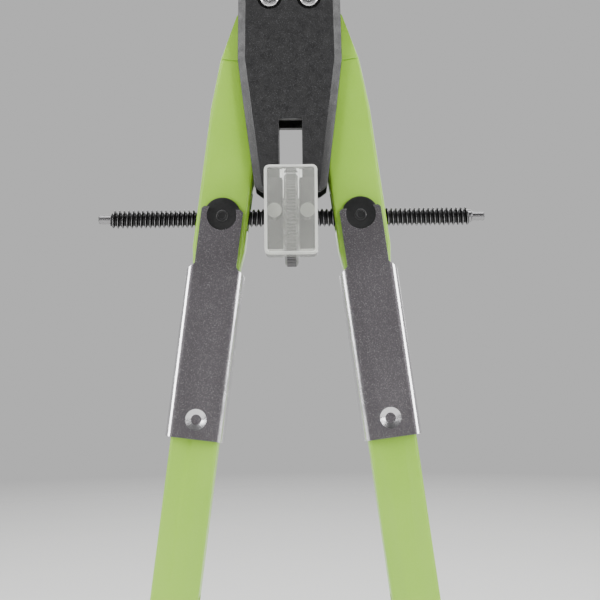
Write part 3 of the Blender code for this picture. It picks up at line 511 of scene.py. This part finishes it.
def creased(obj):
    """Keep the folds between broad flat faces crisp, however slight they are."""
    broad = 12 * MM * MM
    slight = math.radians(4)
    mesh = obj.data
    faces = {}
    for face in mesh.polygons:
        for key in face.edge_keys:
            faces.setdefault(key, []).append(face)
    for edge in mesh.edges:
        pair = faces.get(edge.key, [])
        if len(pair) == 2 and min(face.area for face in pair) > broad:
            bend = pair[0].normal.angle(pair[1].normal)
            edge.use_edge_sharp = edge.use_edge_sharp or bend > slight


def scored(bm, side):
    """Score a fine line across both faces of a leg where they start to slope to the hub."""
    down = Vector((side * math.sin(LEAN), 0, -math.cos(LEAN)))
    pivot = Vector((side * PIVOT.x, 0, PIVOT.z))
    half = max(vert.co.y for vert in bm.verts)
    flat = [vert.co for vert in bm.verts if abs(vert.co.y) > half - 0.01 * MM]
    shoulder = pivot + down * min((place - pivot).dot(down) for place in flat)
    across = 24
    deep = 0.18
    wide = 0.24
    lines = joined(*(block(across, 2 * deep, wide, (0, facing * half / MM, 0))
                     for facing in (-1, 1)))
    return carved(bm, moved(lines, shoulder, -side * LEAN))


def legs():
    """The painted legs, the sleeves that turn in them and the pins that hinge the levers."""
    for side, word in SIDES:
        node = "leg_" + word
        blade = scored(merged_copy(node), side)
        leg = finished(f"{word}_painted_leg", blade, node, edge=0.08, sharp=28)
        creased(leg)
        refined("nut_bush_" + word, f"{word}_nut_sleeve", 0.05)
        refined("lever_pin_" + word, f"{word}_lever_hinge_pin", 0.08)


def cross_hole(deep):
    """A round cutter along X, as wide as the nut's hole for the spindle."""
    radius = 1.65
    half = 5
    hole = turned([(0, -half), (radius, -half), (radius, half), (0, half)], "X", 40)
    return moved(hole, (0, deep, 0))


def half_nuts():
    """The round nuts, each with a long hole that lets it slide clear of the thread."""
    for side, word in SIDES:
        node = "half_nut_" + word
        low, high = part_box(node)
        long = (high.y - low.y) / MM
        profile = [(0, 0.12), (0.55, 0.12), (0.62, 0.02), (0.7, 0), (0.85, 0), (0.97, 0.08),
                   (1.0, 0.2), (2.9, 0.2), (3.1, 0.27), (3.2, 0.45), (3.2, 0.7), (2.55, 0.7),
                   (2.55, long - 0.2), (2.35, long), (0, long)]
        lift = JOINTS[f"half_nut_{word}_lift"]["range_m"][1]
        between = block(10, lift / MM, 3.3, (0, (lift / 2 - low.y) / MM, 0))
        nut = carved(turned(profile, "Y"), cross_hole(-low.y))
        nut = carved(carved(nut, between), cross_hole(lift - low.y))
        moved(nut, (side * NUT.x, low.y, NUT.z))
        finished(f"{word}_round_nut", nut, node, edge=0.03)


def polish_bends(lever):
    """Give the lever's bent flanges, its dish and its narrow edges the polished finish."""
    for face in lever.data.polygons:
        face.material_index = 0 if abs(face.normal.y) > 0.93 else 1


def levers():
    """The two sheet-metal release levers and the coils that push them out."""
    for side, word in SIDES:
        lever = refined("release_lever_" + word, f"{word}_bent_lever", 0.1, sharp=25,
                        also=("polished_steel",))
        polish_bends(lever)
        spring(f"{word}_lever_coil", "lever_spring_" + word, side)


def spring(name, node, side):
    """A close coil of round wire, its axis square to the leg."""
    low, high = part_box(node)
    centre = (low + high) / 2
    wire = 0.2 * MM
    radius = 1.35 * MM
    turns = 4
    steps = 28
    travel = high.y - low.y - 2 * wire
    bm = bmesh.new()
    bmesh.ops.create_circle(bm, cap_ends=True, segments=10, radius=wire)
    bmesh.ops.rotate(bm, verts=bm.verts, matrix=Matrix.Rotation(math.radians(90), 3, "X"))
    bmesh.ops.translate(bm, verts=bm.verts, vec=(radius, 0, 0))
    bmesh.ops.spin(bm, geom=bm.faces[:], axis=(0, 0, 1), cent=(0, 0, 0), steps=turns * steps,
                   angle=math.tau * turns, dvec=(0, 0, travel / (turns * steps)))
    bmesh.ops.recalc_face_normals(bm, faces=bm.faces)
    bmesh.ops.translate(bm, verts=bm.verts, vec=(0, 0, -travel / 2))
    moved(along(bm, "Y"), centre, -side * LEAN)
    finished(name, bm, node, sharp=60)


# ---- spindle, wheel and guard -------------------------------------------------------------


def thread(start, end, hand):
    """A sharp thread along X from start to end, closed at both ends; hand is +1 or -1."""
    pitch = 0.8
    crest = 1.6
    root = 1.13
    flank = 0.25
    land = 0.1
    steps = 36
    turns = int((end - start) / pitch) - 1
    bm = bmesh.new()
    points = []
    for turn in range(turns):
        base = start + turn * pitch
        peak = base + pitch - flank - land
        points += [(root, base), (root, peak - flank), (crest, peak), (crest, peak + land)]
    points.append((root, start + turns * pitch))
    verts = [bm.verts.new((radius * MM, 0, height * MM)) for radius, height in points]
    edges = [bm.edges.new(pair) for pair in zip(verts, verts[1:])]
    bmesh.ops.spin(bm, geom=verts + edges, axis=(0, 0, 1), cent=(0, 0, 0), steps=steps,
                   angle=hand * math.tau, dvec=(0, 0, pitch * MM / steps))
    bmesh.ops.remove_doubles(bm, verts=bm.verts, dist=1e-6)
    bmesh.ops.holes_fill(bm, edges=[e for e in bm.edges if e.is_boundary], sides=0)
    bmesh.ops.triangulate(bm, faces=[f for f in bm.faces if len(f.verts) > 4])
    bmesh.ops.recalc_face_normals(bm, faces=bm.faces)
    # faces below the crest take the second material, painted shade in the thread's grooves
    for face in bm.faces:
        reach = min(math.hypot(vert.co.x, vert.co.y) for vert in face.verts)
        face.material_index = 0 if reach > 0.99 * crest * MM else 1
    return along(bm, "X")


def spindle():
    """The spindle: a plain hub for the wheel, a left and a right thread, and plain ends."""
    low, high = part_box("spindle")
    half = high.x / MM
    thread_end = 31.4
    core = [(0, -half), (0.65, -half), (0.8, -half + 0.18), (0.8, -thread_end + 0.1),
            (1.12, -thread_end + 0.4), (1.12, -2.3), (1.6, -1.95), (1.6, 1.95), (1.12, 2.3),
            (1.12, thread_end - 0.4), (0.8, thread_end - 0.1), (0.8, half - 0.18), (0.65, half),
            (0, half)]
    rod = joined(turned(core, "X", 48), thread(2.0, thread_end, 1), thread(-thread_end, -2.0, -1))
    moved(rod, SPINDLE)
    finished("threaded_spindle", rod, "spindle", "thread_steel", sharp=25,
             also=("painted_groove_shade",))


def wheel():
    """The adjusting wheel: recessed sides, a chamfered rim and fine straight ridges."""
    count = 90
    rim = 1.2
    radius = 8.5
    side = [(1.65, rim), (2.6, rim), (2.75, rim - 0.25), (5.9, rim - 0.25), (6.1, rim),
            (7.85, rim), (8.0, rim - 0.03), (radius, rim - 0.42)]
    profile = [(reach, -height) for reach, height in side] + side[::-1]
    disc = turned(profile, sides=count * 4, ring=True)
    knurled(disc, radius, -rim, rim, count, depth=0.22)
    moved(along(disc, "X"), SPINDLE)
    finished("knurled_wheel", disc, "adjusting_wheel", "thread_steel", sharp=28,
             also=("painted_groove_shade",))


def guide():
    """The sheets that run in the head's slots, with the pegs and dowels that tie them."""
    for _, word in SIDES:
        refined("guide_cheek_" + word, f"{word}_guide_sheet", 0.06)
        refined("guard_peg_" + word, f"{word}_guard_peg", 0.06, "milky_rim")
        refined("guide_dowel_" + word, f"{word}_guide_dowel", 0.06)
    for facing, word in ((-1, "front"), (1, "rear")):
        guard(facing, word)


def guard(facing, word):
    """The clouded cover over the wheel, with a narrow raised lip round its face."""
    node = "guard_" + word
    bm = merged_copy(node)
    low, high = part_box(node)
    reach = high.y if facing > 0 else low.y
    face = max((f for f in bm.faces if abs(f.calc_center_median().y - reach) < 0.01 * MM),
               key=lambda f: f.calc_area())
    lip = 0.12 * MM
    bmesh.ops.inset_region(bm, faces=[face], thickness=lip, depth=-lip)
    for side in bm.faces:
        near = abs(side.calc_center_median().y - reach) < 0.4 * MM
        if near and abs(side.normal.y) < 0.98:
            side.material_index = 1
    finished(word + "_wheel_guard", bm, node, edge=0.05, sharp=25, also=("milky_rim",))


# ---- knees, arms and points ---------------------------------------------------------------


def knees():
    """The slotted screws and nuts that clamp the arms, their slots left at a slant."""
    slant = math.radians(24)
    for side, word in SIDES:
        node = "knee_screw_" + word
        low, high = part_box(node)
        long = (high.y - low.y) / MM
        profile = [(0, 0), (1.75, 0), (2.1, 0.12), (2.28, 0.4), (2.3, 1.0), (1.25, 1.0),
                   (1.25, long - 0.25), (1.05, long), (0, long)]
        screw = carved(turned(profile, "Y"), block(5.2, 1.0, 0.5))
        moved(screw, (side * KNEE.x, low.y, KNEE.z), side * slant)
        finished(f"{word}_knee_slot_screw", screw, node, edge=0.04)
        refined("knee_nut_" + word, f"{word}_knee_hex_nut", 0.12)


def arms():
    """The arms that hold the needle and the lead, and their knurled clamp screws."""
    for side, kind in ((-1, "needle"), (1, "lead")):
        refined(kind + "_arm", kind + "_holder_arm", 0.1)
        node = kind + "_clamp_screw"
        low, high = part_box(node)
        centre = (low + high) / 2
        long = (high.x - low.x) / MM
        head = 2.8
        wide = 2.4
        count = 28
        profile = [(0, 0), (0.8, 0), (0.8, long - head), (1.5, long - head),
                   (2.2, long - head + 0.25), (wide, long - head + 0.5),
                   (wide, long - head + 0.6), (wide, long - 0.6), (wide, long - 0.5),
                   (2.25, long - 0.12), (2.0, long), (1.2, long), (1.0, long - 0.3),
                   (0, long - 0.3)]
        screw = turned(profile, sides=count * 4)
        knurled(screw, wide, long - head + 0.55, long - 0.55, count, depth=0.2)
        along(screw, "X")
        if side < 0:
            bmesh.ops.rotate(screw, verts=screw.verts, matrix=Matrix.Rotation(math.pi, 3, "Z"))
        start = low.x if side > 0 else high.x
        moved(screw, (start, 0, centre.z))
        finished(kind + "_thumb_screw", screw, node, sharp=30, also=("painted_groove_shade",))


def points():
    """The shouldered needle and the sharpened lead."""
    low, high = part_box("needle")
    tall = (high.z - low.z) / MM
    profile = [(0, 0), (0.05, 0.12), (0.3, 1.5), (0.34, 2.5), (0.5, 2.72), (0.6, 3.0),
               (0.6, tall - 0.2), (0.45, tall), (0, tall)]
    needle = moved(turned(profile, sides=48), ((low.x + high.x) / 2, 0, low.z))
    finished("shouldered_needle", needle, "needle", sharp=30)
    low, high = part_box("lead")
    tall = (high.z - low.z) / MM
    profile = [(0, 0), (0.1, 0.05), (0.55, 1.4), (0.97, 2.55), (1.0, 2.75), (1.0, tall), (0, tall)]
    lead = moved(turned(profile, sides=48), ((low.x + high.x) / 2, 0, low.z))
    finished("pencil_lead_stick", lead, "lead", sharp=30)


# ---- stage --------------------------------------------------------------------------------


def floor():
    """A pale floor that fades into the background at its edge."""
    bm = bmesh.new()
    bmesh.ops.create_circle(bm, cap_ends=True, segments=96, radius=FLOOR_RADIUS)
    bmesh.ops.translate(bm, verts=bm.verts, vec=(0, 0, POINT_Z - 0.02 * MM))
    mesh = bpy.data.meshes.new("floor")
    bm.to_mesh(mesh)
    bm.free()
    plane = bpy.data.objects.new("floor", mesh)
    bpy.context.scene.collection.objects.link(plane)
    pale = Finish("pale_floor", Roughness=0.8)
    tone = pale.mix(pale.noise(12, 2), PALE_COOL, PALE_WARM)
    flat = pale.node("VectorMath", {"operation": "MULTIPLY"}, {0: pale.place, 1: (1, 1, 0)})
    out = pale.node("VectorMath", {"operation": "LENGTH"}, {0: flat}, out="Value")
    fade = pale.ramp(out, 0.3 * FLOOR_RADIUS, 0.95 * FLOOR_RADIUS, 1.0, 0.0)
    mesh.materials.append(pale.feed(Base_Color=tone, Alpha=fade))


def softbox(name, place, size, power, target):
    """A soft rectangular light that faces its target and isn't seen itself."""
    data = bpy.data.lights.new(name, "AREA")
    data.shape = "RECTANGLE"
    data.size, data.size_y = size
    data.energy = power
    lamp = bpy.data.objects.new(name, data)
    bpy.context.scene.collection.objects.link(lamp)
    lamp.visible_camera = False
    lamp.location = place
    lamp.rotation_euler = (Vector(target) - Vector(place)).to_track_quat("-Z", "Y").to_euler()


def studio():
    """Soft lights all round; what the metal mirrors is dim in front and pale behind."""
    middle = (0, 0, SPINDLE.z)
    backdrop = 0.55
    dim = 0.09
    pale = 0.58
    front, behind = -0.8, 0.5
    softbox("left_box", (-0.6, -0.33, 0.16), (0.35, 0.6), 6.6, middle)
    softbox("right_box", (0.6, -0.33, 0.16), (0.35, 0.6), 6.6, middle)
    softbox("top_box", (0.0, -0.15, 0.6), (0.9, 0.4), 4.0, middle)
    softbox("front_strip", (0.0, -0.6, SPINDLE.z + 0.03), (0.9, 0.05), 0.3, middle)
    softbox("back_box", (0.1, 0.6, 0.25), (0.8, 0.6), 3.0, middle)
    world = bpy.data.worlds.new("studio")
    world.use_nodes = True
    bpy.context.scene.world = world
    nodes, links = world.node_tree.nodes, world.node_tree.links
    place = nodes.new("ShaderNodeTexCoord")
    parts = nodes.new("ShaderNodeSeparateXYZ")
    links.new(place.outputs["Generated"], parts.inputs[0])
    blend = nodes.new("ShaderNodeMapRange")
    blend.interpolation_type = "SMOOTHSTEP"
    blend.inputs["From Min"].default_value = front
    blend.inputs["From Max"].default_value = behind
    blend.inputs["To Min"].default_value = dim
    blend.inputs["To Max"].default_value = pale
    links.new(parts.outputs["Y"], blend.inputs["Value"])
    path = nodes.new("ShaderNodeLightPath")
    seen = nodes.new("ShaderNodeMix")
    seen.inputs[3].default_value = backdrop
    links.new(path.outputs["Is Camera Ray"], seen.inputs[0])
    links.new(blend.outputs[0], seen.inputs[2])
    sky = nodes["Background"]
    links.new(seen.outputs[0], sky.inputs["Strength"])
    sky.inputs["Color"].default_value = rgb(1.0, 1.0, 1.0)


def camera():
    """Close in front and a little below the spindle, looking slightly up."""
    data = bpy.data.cameras.new("view")
    data.sensor_width = 36.0
    data.lens = 59.2
    data.clip_start = 0.005
    cam = bpy.data.objects.new("view", data)
    bpy.context.scene.collection.objects.link(cam)
    away = 170 * MM
    place = Vector((1.3 * MM, -away, SPINDLE.z - 25.5 * MM))
    target = Vector((1.33 * MM, 0, SPINDLE.z - 14.3 * MM))
    look = (target - place).to_track_quat("-Z", "Y").to_matrix().to_4x4()
    roll = Matrix.Rotation(math.radians(-0.6), 4, "Z")
    cam.matrix_world = Matrix.Translation(place) @ look @ roll
    bpy.context.scene.camera = cam


head()
pivots()
handle()
legs()
half_nuts()
levers()
spindle()
wheel()
guide()
knees()
arms()
points()
floor()
studio()
camera()
